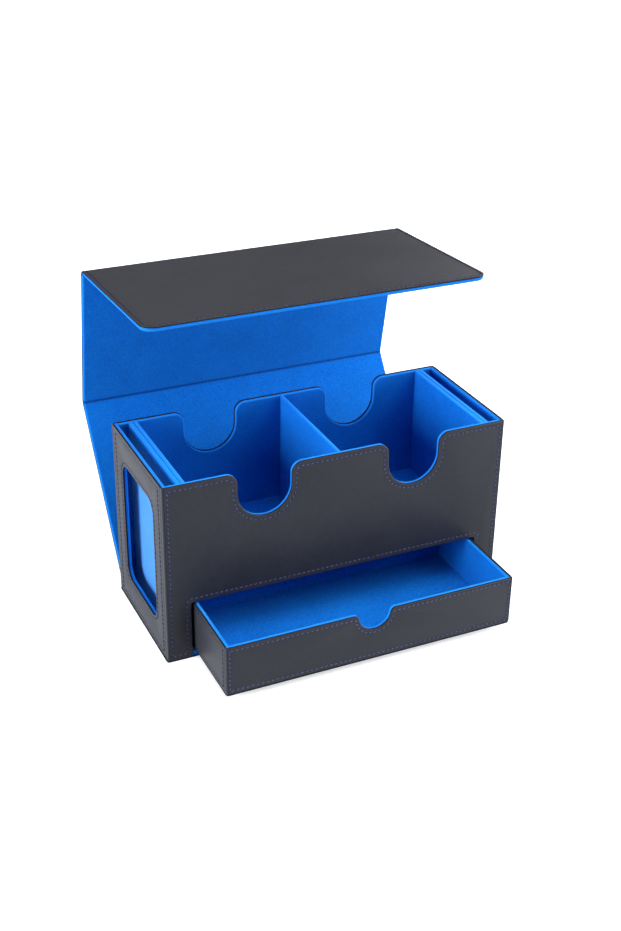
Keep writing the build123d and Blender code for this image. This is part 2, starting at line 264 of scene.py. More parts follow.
def arc(centre, radius, start, end):
    """Points on a circle from one angle to another, in degrees: centre + radius (cos, sin)."""
    steps = max(2, round(abs(math.radians(end - start)) / arc_step))
    angle = np.radians(np.linspace(start, end, steps + 1))
    return np.array(centre) + radius * np.stack([np.cos(angle), np.sin(angle)], 1)


def outline(*runs):
    """Runs of points joined into one closed outline, without repeated points."""
    points = np.concatenate([np.atleast_2d(run) for run in runs])
    apart = np.linalg.norm(points - np.roll(points, 1, 0), axis=1) > same_point
    return points[apart]


def inward(points):
    """The step from each point that moves both its edges in by one: (a + b) / (1 + a.b), where a and b are
    the edges' normals."""
    edge = np.roll(points, -1, 0) - points
    edge = edge / np.linalg.norm(edge, axis=1)[:, None]
    after = np.stack([-edge[:, 1], edge[:, 0]], 1)
    before = np.roll(after, 1, 0)
    return (before + after) / (1 + (before * after).sum(1))[:, None]


def stand(points, heights, place):
    """Flat points lifted by heights and put in place: origin + u U + v V + height W."""
    origin, across, along, outwards = [np.array(part, float) for part in place]
    return origin + points[..., :1] * across + points[..., 1:] * along + heights[..., None] * outwards


def new_piece(name, points, faces, material):
    """A closed mesh, its faces turned outwards, smooth apart from its sharp edges."""
    mesh = bpy.data.meshes.new(name)
    mesh.from_pydata([], [], [])
    mesh.vertices.add(len(points))
    mesh.vertices.foreach_set("co", np.asarray(points, np.float32).ravel())
    corners = np.concatenate([np.asarray(face) for face in faces])
    sizes = np.array([len(face) for face in faces])
    mesh.loops.add(len(corners))
    mesh.loops.foreach_set("vertex_index", corners.astype(np.int32))
    mesh.polygons.add(len(sizes))
    mesh.polygons.foreach_set("loop_start", (np.cumsum(sizes) - sizes).astype(np.int32))
    mesh.update(calc_edges=True)
    mesh.validate()
    work = bmesh.new()
    work.from_mesh(mesh)
    bmesh.ops.recalc_face_normals(work, faces=work.faces)
    work.to_mesh(mesh)
    work.free()
    mesh.shade_smooth()
    mesh.set_sharp_from_angle(angle=sharp_angle)
    mesh.materials.append(material)
    return in_scene(name, mesh)


def stand_for(piece, node, body):
    """Hides the node a piece takes the place of and puts the piece on the body it rides on."""
    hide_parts(node)
    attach(piece, body)


def ring_quads(rows, count, start):
    """Quads between rows of a closed ring of points, the first point being number start."""
    row, point = np.meshgrid(np.arange(rows - 1), np.arange(count), indexing="ij")
    beside = (point + 1) % count
    near, far = row * count, (row + 1) * count
    quads = np.stack([near + point, near + beside, far + beside, far + point], -1)
    return list(quads.reshape(-1, 4) + start)


def mark_edge(piece, insets):
    """Writes the attribute "edge": 1 - inset / edge width, cut off at 0 and 1, for each point."""
    layer = piece.data.attributes.get("edge") or piece.data.attributes.new("edge", "FLOAT", "POINT")
    layer.data.foreach_set("value", np.clip(1 - insets / edge_width, 0, 1).astype(np.float32))
    return piece


def slab(name, loops, rows, place, material, steps=None):
    """A sheet or board with a shaped edge: each outline carried through rows of (inset, height), then both
    faces filled. Point = outline + inset * inward step, lifted by height. Holes run the other way round. The
    attribute "edge" falls from 1 at the outline to 0 at the edge's width inside it."""
    insets, heights = np.array(rows).T
    points, faces, lids, start = [], [], [[], []], 0
    for loop, step in zip(loops, steps or [inward(loop) for loop in loops]):
        grid = loop[None] + insets[:, None, None] * step[None]
        points.append(stand(grid, np.broadcast_to(heights[:, None], grid.shape[:2]), place).reshape(-1, 3))
        faces += ring_quads(len(rows), len(loop), start)
        for lid, row in zip(lids, (0, len(rows) - 1)):
            lid.append((grid[row], start + row * len(loop) + np.arange(len(loop))))
        start += len(loop) * len(rows)
    for lid in lids:
        numbers = np.concatenate([part[1] for part in lid])
        flat = [[Vector((x, y, 0)) for x, y in part[0]] for part in lid]
        faces += [numbers[list(corner)] for corner in tessellate_polygon(flat)]
    piece = new_piece(name, np.concatenate(points), faces, material)
    return mark_edge(piece, np.concatenate([np.repeat(insets, len(loop)) for loop in loops]))


def quarter(inset, height, radius, start, end, count=5):
    """Rows round a quarter of a circle whose centre is at (inset, height): start and end in degrees."""
    angle = np.radians(np.linspace(start, end, count))
    return [(inset - radius * math.cos(a), height + radius * math.sin(a)) for a in angle]


def leather_rows(thickness, seam=stitch_inset, rounding=leather_round, lip=0.0):
    """A leather edge from its back to its face: up the side, round, swelling a little, down into the groove
    at the seam's inset, depth cos^2 across it. A seam of 0 leaves the groove out, and a lip is the width by
    which the edge is turned in over the lining."""
    rows = [(lip_depth, 0.0), (lip_depth, -lip)] if lip else []
    rows += [(edge_ease, -lip), (0.0, edge_ease - lip)]
    rows += quarter(rounding, thickness - rounding, rounding, 0, 90)[1:]
    if seam == 0:
        return rows + [(edge_width, thickness)]
    rows.append((seam / 2, thickness + edge_swell))
    rows.append((seam - groove_run * groove_half, thickness + swell_left * edge_swell))
    across = np.linspace(-1, 1, groove_rows)
    depths = groove_depth * np.cos(across * math.pi / 2) ** 2
    return rows + [(seam + groove_half * s, thickness - depth) for s, depth in zip(across, depths)]


def wall_place(side, out):
    """Where a wall's sheets lie: (origin, across, up, outwards), with its leather's back at distance out."""
    outwards = {"front": (0, -1, 0), "back": (0, 1, 0), "left": (-1, 0, 0), "right": (1, 0, 0)}[side]
    across = np.cross((0, 0, 1), outwards)
    return (np.array(outwards) * out, across, (0, 0, 1), outwards)


def finger_cut(centre, top, depth, radius, shoulder):
    """The edge of a round-bottomed cut, from its right shoulder round to its left one. In a cut too shallow
    for straight sides the arcs meet early, at a lean with sine (shoulder - drop) / (radius + shoulder)."""
    reach = radius + shoulder
    drop = depth - radius
    lean = math.asin(max(0.0, (shoulder - drop) / reach))
    across = reach * math.cos(lean)
    tilt = math.degrees(lean)
    return np.concatenate([
        arc((centre + across, top - shoulder), shoulder, 90, 180 - tilt),
        arc((centre, top - drop), radius, -tilt, tilt - 180),
        arc((centre - across, top - shoulder), shoulder, tilt, 90),
    ])


def cut_wall(half, foot, opening):
    """A long wall's outline: thumb cut-outs along the top and, in the front one, the drawer's way through."""
    runs = [(-half, foot)]
    if opening:
        inner = opening_half - opening_corner
        crown = opening_top - opening_corner
        runs += [(-opening_half, foot), arc((-inner, crown), opening_corner, 180, 90)]
        runs += [arc((inner, crown), opening_corner, 90, 0), (opening_half, foot)]
    runs += [(half, foot), (half, case_top)]
    for centre in (thumb_offset, -thumb_offset):
        runs.append(finger_cut(centre, case_top, thumb_depth, thumb_radius, thumb_shoulder))
    return outline(*runs, (-half, case_top))


def rectangle(low_u, high_u, low_v, high_v, radius=0.0):
    """A plain outline, with its corners rounded by a radius."""
    if radius == 0:
        return np.array([(low_u, low_v), (high_u, low_v), (high_u, high_v), (low_u, high_v)])
    corners = [(low_u + radius, low_v + radius), (high_u - radius, low_v + radius)]
    corners += [(high_u - radius, high_v - radius), (low_u + radius, high_v - radius)]
    return outline(*[arc(corner, radius, 180 + 90 * i, 270 + 90 * i) for i, corner in enumerate(corners)])


def upright_steps(loop, half, ratio):
    """Inward steps, those at a panel's two upright ends scaled across it: step_u * ratio at |u| = half."""
    steps = inward(loop)
    steps[np.isclose(np.abs(loop[:, 0]), half), 0] *= ratio
    return steps


def window_hole(grow=0.0):
    """The window's outline, run the other way round as a hole is, grown by a margin."""
    radius = window_corner + grow
    half = window_half + grow - radius
    low, high = window_low - grow + radius, window_high + grow - radius
    turns = [(half, low), (half, high), (-half, high), (-half, low)]
    return outline(*[arc(turn, radius, 90 * i - 90, 90 * i) for i, turn in enumerate(turns)])[::-1]


def new_group(name, *outputs):
    """A node group that reads a vector and puts out values, all by name."""
    group = bpy.data.node_groups.new(name, "ShaderNodeTree")
    group.interface.new_socket("Vector", in_out="INPUT", socket_type="NodeSocketVector")
    for label in outputs:
        group.interface.new_socket(label, in_out="OUTPUT", socket_type="NodeSocketFloat")
    vector = group.nodes.new("NodeGroupInput").outputs["Vector"]
    return group, group.nodes, group.links, vector, group.nodes.new("NodeGroupOutput").inputs


def noise(nodes, links, vector, scale, detail, roughness=0.55):
    """A noise texture on a vector, with its scale in cycles per metre."""
    texture = nodes.new("ShaderNodeTexNoise")
    set_inputs(texture, {"Scale": scale, "Detail": detail, "Roughness": roughness})
    links.new(vector, texture.inputs["Vector"])
    return texture.outputs["Fac"]


def spread(nodes, links, value, low, high, to_low=0.0, to_high=1.0):
    """A value mapped from one span to another, smoothly."""
    ramp = nodes.new("ShaderNodeMapRange")
    ramp.interpolation_type = "SMOOTHSTEP"
    set_inputs(ramp, {"From Min": low, "From Max": high, "To Min": to_low, "To Max": to_high})
    links.new(value, ramp.inputs["Value"])
    return ramp.outputs["Result"]


def mix_colours(nodes, links, factor, first, second):
    """A colour between two, each a socket or a plain colour."""
    mix = nodes.new("ShaderNodeMix")
    mix.data_type = "RGBA"
    links.new(factor, mix.inputs["Factor"])
    for label, colour in (("A", first), ("B", second)):
        if isinstance(colour, tuple):
            mix.inputs[label].default_value = colour
        else:
            links.new(colour, mix.inputs[label])
    return mix.outputs["Result"]


def raise_surface(nodes, links, shader, height, strength, depth):
    """Bumps a shader's surface by a height that runs from 0 to 1, over a depth."""
    bump = nodes.new("ShaderNodeBump")
    set_inputs(bump, {"Strength": strength, "Distance": depth})
    links.new(height, bump.inputs["Height"])
    links.new(bump.outputs["Normal"], shader.inputs["Normal"])


def leather_grain():
    """The embossed pebble of the leather: rounded cells with creases between, and a slow unevenness."""
    group, nodes, links, vector, leave = new_group("leather_grain", "Height", "Mottle")
    bent = nodes.new("ShaderNodeVectorMath")
    bent.operation = "MULTIPLY_ADD"
    wobble = nodes.new("ShaderNodeTexNoise")
    set_inputs(wobble, {"Scale": wobble_scale, "Detail": 1})
    links.new(vector, wobble.inputs["Vector"])
    links.new(wobble.outputs["Color"], bent.inputs[0])
    bent.inputs[1].default_value = (wobble_reach, wobble_reach, wobble_reach)
    links.new(vector, bent.inputs[2])
    cells = nodes.new("ShaderNodeTexVoronoi")
    cells.feature = "DISTANCE_TO_EDGE"
    cells.inputs["Scale"].default_value = pebble_scale
    links.new(bent.outputs[0], cells.inputs["Vector"])
    pebble = spread(nodes, links, cells.outputs["Distance"], 0.0, pebble_round)
    fine = noise(nodes, links, vector, fine_scale, 2)
    links.new(combine(nodes, links, "MULTIPLY_ADD", fine, fine_share, pebble), leave["Height"])
    slow = noise(nodes, links, vector, patch_scale, 3)
    middle = noise(nodes, links, vector, blotch_scale, 2)
    both = combine(nodes, links, "ADD", slow, middle)
    links.new(spread(nodes, links, both, *mottle_span), leave["Mottle"])
    return group


def leather_material():
    """Black imitation leather: pebbled and satin, paler and drier in patches, and black and dry round the
    pared edge, where the attribute "edge" nears 1."""
    made, nodes, links, shader = new_material("black_leather")
    grain = nodes.new("ShaderNodeGroup")
    grain.node_tree = leather_grain()
    links.new(nodes.new("ShaderNodeTexCoord").outputs["Object"], grain.inputs["Vector"])
    mottle = grain.outputs["Mottle"]
    edge = nodes.new("ShaderNodeAttribute")
    edge.attribute_name = "edge"
    rim = spread(nodes, links, edge.outputs["Fac"], *rim_span)
    body = mix_colours(nodes, links, mottle, leather_colour, leather_light)
    links.new(mix_colours(nodes, links, rim, body, leather_edge), shader.inputs["Base Color"])
    satin = spread(nodes, links, mottle, 0, 1, *leather_satin)
    dryness = combine(nodes, links, "MULTIPLY_ADD", rim, rim_dryness, satin)
    links.new(dryness, shader.inputs["Roughness"])
    shader.inputs["Specular IOR Level"].default_value = leather_specular
    raise_surface(nodes, links, shader, grain.outputs["Height"], grain_strength, grain_depth)
    return made


leather = leather_material()
leather_back_x = half_width - leather_thickness
leather_back_y = half_depth - leather_thickness
long_half = leather_back_x - seam_gap
end_half = half_depth - strip_width - seam_gap
end_wall = rectangle(-end_half, end_half, case_foot, case_top)
case_leather = {}
for side in ("front", "back"):
    sheet = cut_wall(long_half, case_foot, side == "front")
    steps = upright_steps(sheet, long_half, front_stitch / stitch_inset)
    case_leather[side] = ([sheet], [steps], leather_back_y)
for side in ("left", "right"):
    steps = [upright_steps(end_wall, end_half, end_stitch / stitch_inset),
             inward(window_hole()) * window_stitch / stitch_inset]
    case_leather[side] = ([end_wall, window_hole()], steps, leather_back_x)
for side, (loops, steps, out) in case_leather.items():
    rows = leather_rows(leather_thickness)
    if side in ("back", "right"):
        rows = leather_rows(leather_thickness, rounding=far_round, lip=lip_width)
    piece = slab(f"{side}_leather", loops, rows, wall_place(side, out), leather, steps)
    stand_for(piece, f"{side}_cover", "case")


def corner_strip(name, corner, facing, width, foot, top, body):
    """The strip that binds an upright corner: a bar as thick as the leather, with its outer corner rounded,
    carried from foot to top. Facing is the corner's direction from the middle, as a pair of signs."""
    bar = outline(arc((-corner_round, -corner_round), corner_round, 0, 90), (-leather_thickness, 0.0),
                  (-leather_thickness, -width), arc((-strip_round, strip_round - width), strip_round, -90, 0))
    hidden = bar[:, 0] == -leather_thickness
    steps = inward(bar)
    steps[hidden, 0] = 0.0
    turn = int(facing[0] * facing[1])
    bar, steps = (np.array(corner) + bar * facing)[::turn], (steps * facing)[::turn]
    rows = quarter(leather_round, foot + leather_round, leather_round, -90, 0)
    rows += quarter(leather_round, top - leather_round, leather_round, 0, 90)
    strip = slab(name, [bar], rows, ((0, 0, 0), (1, 0, 0), (0, 1, 0), (0, 0, 1)), leather, [steps])
    mark_edge(strip, np.full(len(strip.data.vertices), edge_width))
    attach(strip, body)


corners = {"front_left": (-1, -1), "front_right": (1, -1), "back_right": (1, 1), "back_left": (-1, 1)}
for name, facing in corners.items():
    corner = (half_width * facing[0], half_depth * facing[1])
    corner_strip(f"{name}_strip", corner, facing, strip_width, case_foot, case_top, "case")

# The thread: one row of lock stitch round every leather panel, in indigo, and on the ends and the lid a copy
# of the same thread darkened close to black, painted shade. Each stitch is a short bridge of polyester thread
# that comes up through one hole and goes down through the next.

stitch_pitch = 3.4 * mm
stitch_length = 2.6 * mm
thread_radius = 0.36 * mm
stitch_rise = 0.12 * mm
stitch_sink = 0.34 * mm
stitch_slant = math.radians(24)
slant_spread = 0.03
thread_seat = 0.05 * mm
stitch_stations = 7
stitch_sides = 6
stitch_taper = 0.35
corner_turn = math.radians(50)
ply_scale = 2.2
ply_bend = 0.6
ply_strength = 0.6
ply_depth = 0.05 * mm
# Where along a stitch the painted shade at its holes begins, and where it is full.
hole_shade_begin = 0.8
hole_shade_full = 1.8
indigo = (0.004, 0.007, 0.060, 1)
indigo_light = (0.032, 0.042, 0.180, 1)
# The hole colours are painted shade where the thread goes down into its holes.
indigo_hole_shade = (0.0012, 0.0014, 0.010, 1)
# A darker copy of the same indigo thread, painted shade, for the end walls and the lid.
shaded_thread_colour = (0.002, 0.003, 0.018, 1)
shaded_thread_light = (0.006, 0.008, 0.050, 1)
shaded_thread_hole_shade = (0.0008, 0.0009, 0.004, 1)
indigo_finish = (0.34, 0.45)
shaded_thread_finish = (0.40, 0.20)
thread_random = np.random.default_rng(7)


def thread_material(name, thread_colour, thread_light, hole_shade_colour, roughness, shine):
    """Polyester thread with the twist of its plies, read along and across each stitch from its own map.
    Painted shade darkens it with the distance from a stitch's middle, towards the holes it goes down."""
    made, nodes, links, shader = new_material(name)
    place = nodes.new("ShaderNodeUVMap")
    place.uv_map = "thread"
    plies = nodes.new("ShaderNodeTexWave")
    plies.bands_direction = "DIAGONAL"
    set_inputs(plies, {"Scale": ply_scale, "Distortion": ply_bend})
    links.new(place.outputs["UV"], plies.inputs["Vector"])
    along = nodes.new("ShaderNodeSeparateXYZ")
    links.new(place.outputs["UV"], along.inputs[0])
    reach = combine(nodes, links, "ABSOLUTE", along.outputs["X"])
    # Painted shade: the thread darkens from its middle towards its holes.
    crown = spread(nodes, links, reach, hole_shade_begin, hole_shade_full, 1.0, 0.0)
    twist = mix_colours(nodes, links, plies.outputs["Fac"], thread_colour, thread_light)
    links.new(mix_colours(nodes, links, crown, hole_shade_colour, twist), shader.inputs["Base Color"])
    links.new(spread(nodes, links, crown, 0, 1, 1.0, roughness), shader.inputs["Roughness"])
    shader.inputs["Specular IOR Level"].default_value = shine
    raise_surface(nodes, links, shader, plies.outputs["Fac"], ply_strength, ply_depth)
    return made


thread = thread_material("indigo_thread", indigo, indigo_light, indigo_hole_shade, *indigo_finish)
# The darker copy: the same thread with painted shade.
shaded_thread = thread_material("shaded_indigo_thread", shaded_thread_colour, shaded_thread_light, shaded_thread_hole_shade, *shaded_thread_finish)


def seam_runs(points):
    """A closed seam split where it turns sharply, as a list of open runs."""
    edge = np.roll(points, -1, 0) - points
    edge = edge / np.linalg.norm(edge, axis=1)[:, None]
    turn = np.arccos(np.clip((edge * np.roll(edge, 1, 0)).sum(1), -1, 1))
    corners = np.flatnonzero(turn > corner_turn)
    if len(corners) == 0:
        return [np.concatenate([points, points[:1]])]
    ring = np.roll(points, -corners[0], 0)
    stops = [*(corners - corners[0]), len(points)]
    ring = np.concatenate([ring, ring[:1]])
    return [ring[a:b + 1] for a, b in zip(stops[:-1], stops[1:])]


def along_path(path, places):
    """The points and directions at given distances along a path of straight runs."""
    steps = np.diff(path, axis=0)
    lengths = np.linalg.norm(steps, axis=1)
    reached = np.concatenate([[0], np.cumsum(lengths)])
    which = np.clip(np.searchsorted(reached, places, side="right") - 1, 0, len(steps) - 1)
    heading = steps[which] / lengths[which][:, None]
    return path[which] + heading * (places - reached[which])[:, None], heading


def stitch_shape():
    """One stitch: circles of thread along an arch, height = rise (1 - s^2) - sink s^4, s from -1 to 1, each
    of radius = thread radius (1 - taper s^4). The map gives 2 s along it and the angle round it."""
    s = np.linspace(-1, 1, stitch_stations)[:, None]
    turn = np.linspace(0, 2 * math.pi, stitch_sides, endpoint=False)[None]
    width = thread_radius * (1 - stitch_taper * s ** 4)
    along = np.broadcast_to(s * stitch_length / 2, (stitch_stations, stitch_sides))
    across = width * np.cos(turn)
    lift = stitch_rise * (1 - s ** 2) - stitch_sink * s ** 4 + width * np.sin(turn)
    points = np.stack([along, across, lift], -1).reshape(-1, 3)
    faces = ring_quads(stitch_stations, stitch_sides, 0)
    end = np.arange(stitch_sides)
    faces += [end, end + (stitch_stations - 1) * stitch_sides]
    chart = np.stack(np.broadcast_arrays(s * 2.0, turn), -1)
    return points, faces, chart.reshape(-1, 2)


def stitch_row(name, paths, place, height, body, material):
    """Stitches set evenly along flat paths on a face at a height over the place's origin."""
    shape, shape_faces, chart = stitch_shape()
    points, faces = [], []
    for path in paths:
        length = np.linalg.norm(np.diff(path, axis=0), axis=1).sum()
        count = max(1, round(length / stitch_pitch))
        spots, heading = along_path(path, (np.arange(count) + 0.5) * length / count)
        angle = stitch_slant + thread_random.normal(0, slant_spread, count)
        heading = np.stack([
            heading[:, 0] * np.cos(angle) - heading[:, 1] * np.sin(angle),
            heading[:, 0] * np.sin(angle) + heading[:, 1] * np.cos(angle),
        ], 1)
        flat = spots[:, None] + shape[None, :, :1] * heading[:, None]
        flat = flat + shape[None, :, 1:2] * np.stack([-heading[:, 1], heading[:, 0]], 1)[:, None]
        lifts = np.broadcast_to(height + shape[None, :, 2], flat.shape[:2])
        points.append(stand(flat, lifts, place).reshape(-1, 3))
    points = np.concatenate(points)
    total = len(points) // len(shape)
    for number in range(total):
        faces += [face + number * len(shape) for face in shape_faces]
    piece = new_piece(name, points, faces, material)
    layer = piece.data.uv_layers.new(name="thread")
    corners = np.zeros(len(piece.data.loops), np.int32)
    piece.data.loops.foreach_get("vertex_index", corners)
    layer.data.foreach_set("uv", chart[corners % len(shape)].astype(np.float32).ravel())
    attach(piece, body)


def rim_paths(loops, steps, inset):
    """The seams that follow outlines at a distance inside them, along the same inward steps."""
    return [run for loop, step in zip(loops, steps) for run in seam_runs(loop + inset * step)]


face_height = leather_thickness - groove_depth + thread_seat
# The end walls, the case's and the drawer's, take the thread's darker copy, painted shade.
wall_thread = {"front": thread, "back": thread, "left": shaded_thread, "right": shaded_thread}
for side, (loops, steps, out) in case_leather.items():
    seams = rim_paths(loops, steps, stitch_inset)
    stitch_row(f"{side}_stitches", seams, wall_place(side, out), face_height, "case", wall_thread[side])

# The case's lining: a bright blue suede-like microfibre that covers each board's inner face and turns over
# its top and into its cut-outs, where a fine seam shows on the edge.

inner_low, inner_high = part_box("left_lining")
lining_thickness = inner_high.x - inner_low.x
lining_foot = inner_low.z
lining_round = 0.7 * mm
seam_depth = 0.15 * mm
seam_half = 0.2 * mm
glued_edge = [(0.6 * mm, 0.0), (0.22 * mm, 0.02 * mm), (0.06 * mm, 0.16 * mm), (0.0, 0.35 * mm)]
near_drop = 0.10 * mm
far_drop = 0.42 * mm
window_drop = 0.35 * mm
suede_deep = (0.0003, 0.086, 0.392, 1)
suede_light = (0.0018, 0.141, 0.572, 1)
# Paler blue at the turned edges: partly the opened nap, partly a painted highlight.
suede_edge_nap_and_highlight = (0.0070, 0.176, 0.640, 1)
# Darker blue in a fold's crease: painted shade.
suede_crease_shade = (0.0003, 0.040, 0.22, 1)
suede_roughness = 0.9
suede_specular = 0.08
suede_sheen = 0.5
sheen_roughness = 0.4
sheen_tint = (0.07, 0.46, 1.0, 1)
edge_highlight_start = 0.45
fibre_scale = 2600
brush_scale = 60
brush_share = 0.3
speckle_scale = 1300
speckle_share = 1.6
brushing_span = (0.68, 1.22)
nap_strength = 0.5
nap_depth = 0.10 * mm
fine_roughness = 0.7
# Paler colours of the slot boards up to a height: a painted pool of the light that comes in through the
# window.
window_lit_deep = (0.046, 0.172, 0.425, 1)
window_lit_light = (0.062, 0.218, 0.590, 1)
window_light_top = 98 * mm
window_light_fade_end = 112 * mm


def lining_rows(thickness, rounding, seam=0.5):
    """A lined edge from the leather to the inner face: a fine seam part of the way, then round."""
    middle = seam * thickness
    rows = glued_edge + [(0.0, middle - seam_half), (seam_depth, middle), (0.0, middle + seam_half)]
    return rows + quarter(rounding, thickness - rounding, rounding, 0, 90) + [(edge_width, thickness)]


def suede_nap():
    """The nap of the lining: fibres a third of a millimetre apart, in patches brushed both ways."""
    group, nodes, links, vector, leave = new_group("suede_nap", "Height", "Brushing")
    links.new(noise(nodes, links, vector, fibre_scale, 3, fine_roughness), leave["Height"])
    patches = combine(nodes, links, "MULTIPLY", noise(nodes, links, vector, brush_scale, 3), brush_share)
    speckle = noise(nodes, links, vector, speckle_scale, 2, 0.6)
    mixed = combine(nodes, links, "MULTIPLY_ADD", speckle, speckle_share, patches)
    links.new(spread(nodes, links, mixed, *brushing_span), leave["Brushing"])
    return group


def suede_material(name, window_lit=False):
    """Blue microfibre: matt, with a pale sheen where the nap is seen edge on. Where the attribute "edge"
    nears 1, at the turned edges, it is paler, partly the opened nap and partly a painted highlight. Where
    "edge" is below 0, in a fold's crease, it is darker with painted shade, and for the slot boards it is
    paler up to a height, a painted pool of the light that comes in through the window."""
    made, nodes, links, shader = new_material(name)
    place = nodes.new("ShaderNodeTexCoord").outputs["Object"]
    nap = nodes.new("ShaderNodeGroup")
    nap.node_tree = bpy.data.node_groups.get("suede_nap") or suede_nap()
    links.new(place, nap.inputs["Vector"])
    edge = nodes.new("ShaderNodeAttribute")
    edge.attribute_name = "edge"
    brushing = nap.outputs["Brushing"]
    body = mix_colours(nodes, links, brushing, suede_deep, suede_light)
    if window_lit:
        # Painted light: paler up to a height, where light comes in through the window.
        height = nodes.new("ShaderNodeSeparateXYZ")
        links.new(place, height.inputs[0])
        window_light_mask = spread(nodes, links, height.outputs["Z"], window_light_top, window_light_fade_end, 1.0, 0.0)
        pale = mix_colours(nodes, links, brushing, window_lit_deep, window_lit_light)
        body = mix_colours(nodes, links, window_light_mask, body, pale)
    # Paler towards the turned edges: partly the opened nap, partly a painted highlight.
    rim = spread(nodes, links, edge.outputs["Fac"], edge_highlight_start, 1.0)
    turned = mix_colours(nodes, links, rim, body, suede_edge_nap_and_highlight)
    # Painted shade in a fold's crease, where the attribute "edge" is below 0.
    flat = spread(nodes, links, edge.outputs["Fac"], -1.0, 0.0, 1.0, 0.0)
    links.new(mix_colours(nodes, links, flat, turned, suede_crease_shade), shader.inputs["Base Color"])
    set_inputs(shader, {"Roughness": suede_roughness, "Specular IOR Level": suede_specular,
                        "Sheen Weight": suede_sheen, "Sheen Roughness": sheen_roughness,
                        "Sheen Tint": sheen_tint})
    raise_surface(nodes, links, shader, nap.outputs["Height"], nap_strength, nap_depth)
    return made


suede = suede_material("blue_suede")


def lowered(loop, half, drop):
    """A lining's outline set back from the leather's edge by a drop, but not at its upright ends."""
    return loop + drop * upright_steps(loop, half, 0.0)


def facing_in(place):
    """A leather sheet's place turned round, for its lining: back to back, its face inwards."""
    origin, across, up_axis, outwards = place
    return (origin, -np.array(across), up_axis, -np.array(outwards))


lining_half = leather_back_x - lining_thickness
case_linings = {
    "front": ([lowered(cut_wall(lining_half, lining_foot, True), lining_half, near_drop)], leather_back_y),
    "back": ([lowered(cut_wall(lining_half, lining_foot, False), lining_half, far_drop)], leather_back_y),
}
end_lining = rectangle(-leather_back_y, leather_back_y, lining_foot, case_top)
for side, drop in (("left", near_drop), ("right", far_drop)):
    loops = [lowered(end_lining, leather_back_y, drop), window_hole(window_drop)]
    case_linings[side] = (loops, leather_back_x)
wall_lining_rows = lining_rows(lining_thickness, lining_round)
for side, (loops, out) in case_linings.items():
    piece = slab(f"{side}_suede", loops, wall_lining_rows, facing_in(wall_place(side, out)), suede)
    stand_for(piece, f"{side}_lining", "case")

# Partitions: two thin boards side by side, each wrapped in the lining, between a compartment and the display
# slot, and one between the compartments. The slot board's lining is paler up to about the window's top, a
# painted pool of the light that comes in through the window.

ply_round = 0.7 * mm
ply_drop = 0.35 * mm
divider_thickness = 2.8 * mm
divider_round = 1.2 * mm


def board_rows(thickness, rounding):
    """A wrapped board's edge, rounded towards both faces."""
    rows = [(edge_width, 0.0)] + quarter(rounding, rounding, rounding, -90, 0)
    return rows + quarter(rounding, thickness - rounding, rounding, 0, 90) + [(edge_width, thickness)]


def partition(node, thickness, rounding, material):
    """A wrapped board that stands in place of a node, its length along the box's depth."""
    low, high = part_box(node)
    place = (((low.x + high.x - thickness) / 2, 0, 0), (0, 1, 0), (0, 0, 1), (1, 0, 0))
    sheet = rectangle(low.y, high.y, low.z, high.z - ply_drop)
    piece = slab(f"{node}_suede", [sheet], board_rows(thickness, rounding), place, material)
    stand_for(piece, node, "case")


ply_low, ply_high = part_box("left_slot_ply")
# The slot boards' lining carries the painted window light.
slot_suede = suede_material("slot_suede", window_lit=True)
for side in ("left", "right"):
    partition(f"{side}_slot_ply", ply_high.x - ply_low.x, ply_round, slot_suede)
    partition(f"{side}_bay_ply", ply_high.x - ply_low.x, ply_round, suede)
partition("centre_divider", divider_thickness, divider_round, suede)

# The underside: the wrap's own leather under the base board, and the lining that floors the drawer's bay,
# the slots and the compartments.

base_corner = 2.0 * mm
floor_round = 0.1 * mm
floor_overlap = 0.2 * mm


def underside(name, node, body):
    """A leather sheet glued face down under a box, its corners rounded."""
    low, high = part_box(node)
    sheet = rectangle(low.x, high.x, -high.y, -low.y, base_corner)
    place = ((0, 0, high.z), (1, 0, 0), (0, -1, 0), (0, 0, -1))
    piece = slab(name, [sheet], leather_rows(high.z - low.z, 0), place, leather)
    stand_for(piece, node, body)


def dress(names, material):
    """Gives carried-over nodes their finish."""
    for name in names:
        node = frame["nodes"][name]
        node.data.materials.clear()
        node.data.materials.append(material)


underside("base_leather", "base_cover", "case")
dress(["base_lining"], suede)
divider_side = divider_thickness / 2 - floor_overlap
for side, facing in (("left", -1), ("right", 1)):
    low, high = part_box(f"{side}_floor_lining")
    near, far = sorted((facing * divider_side, low.x if facing < 0 else high.x))
    place = ((0, 0, low.z), (1, 0, 0), (0, 1, 0), (0, 0, 1))
    sheet = rectangle(near, far, low.y, high.y)
    piece = slab(f"{side}_floor_suede", [sheet], board_rows(high.z - low.z, floor_round), place, suede)
    stand_for(piece, f"{side}_floor_lining", "case")

# The drawer: a shallow tray of lined board, leather outside and stitched like the case, with a finger notch
# in the front. Its rim is a blue edge with a thin black line outside.

tray_low, tray_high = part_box("drawer_bottom_cover")
face_low, face_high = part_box("drawer_front_cover")
tray_lining_low, tray_lining_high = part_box("drawer_left_lining")
drawer_lining = tray_lining_high.x - tray_lining_low.x
notch_radius = 11.5 * mm
notch_depth = 12.8 * mm
notch_shoulder = 3.5 * mm
drawer_stitch = 2.6 * mm
drawer_front_stitch = 1.2 * mm
drawer_strip = 2.6 * mm
tray_top = face_high.z
tray_foot = face_low.z
tray_half = tray_high.x
tray_middle = (tray_low.y + tray_high.y) / 2
tray_half_depth = (tray_high.y - tray_low.y) / 2


def tray_place(side, out):
    """Where a drawer wall's sheets lie, out from the drawer's own middle."""
    origin, across, up_axis, outwards = wall_place(side, out)
    return (origin + np.array((0, tray_middle, 0)), across, up_axis, outwards)


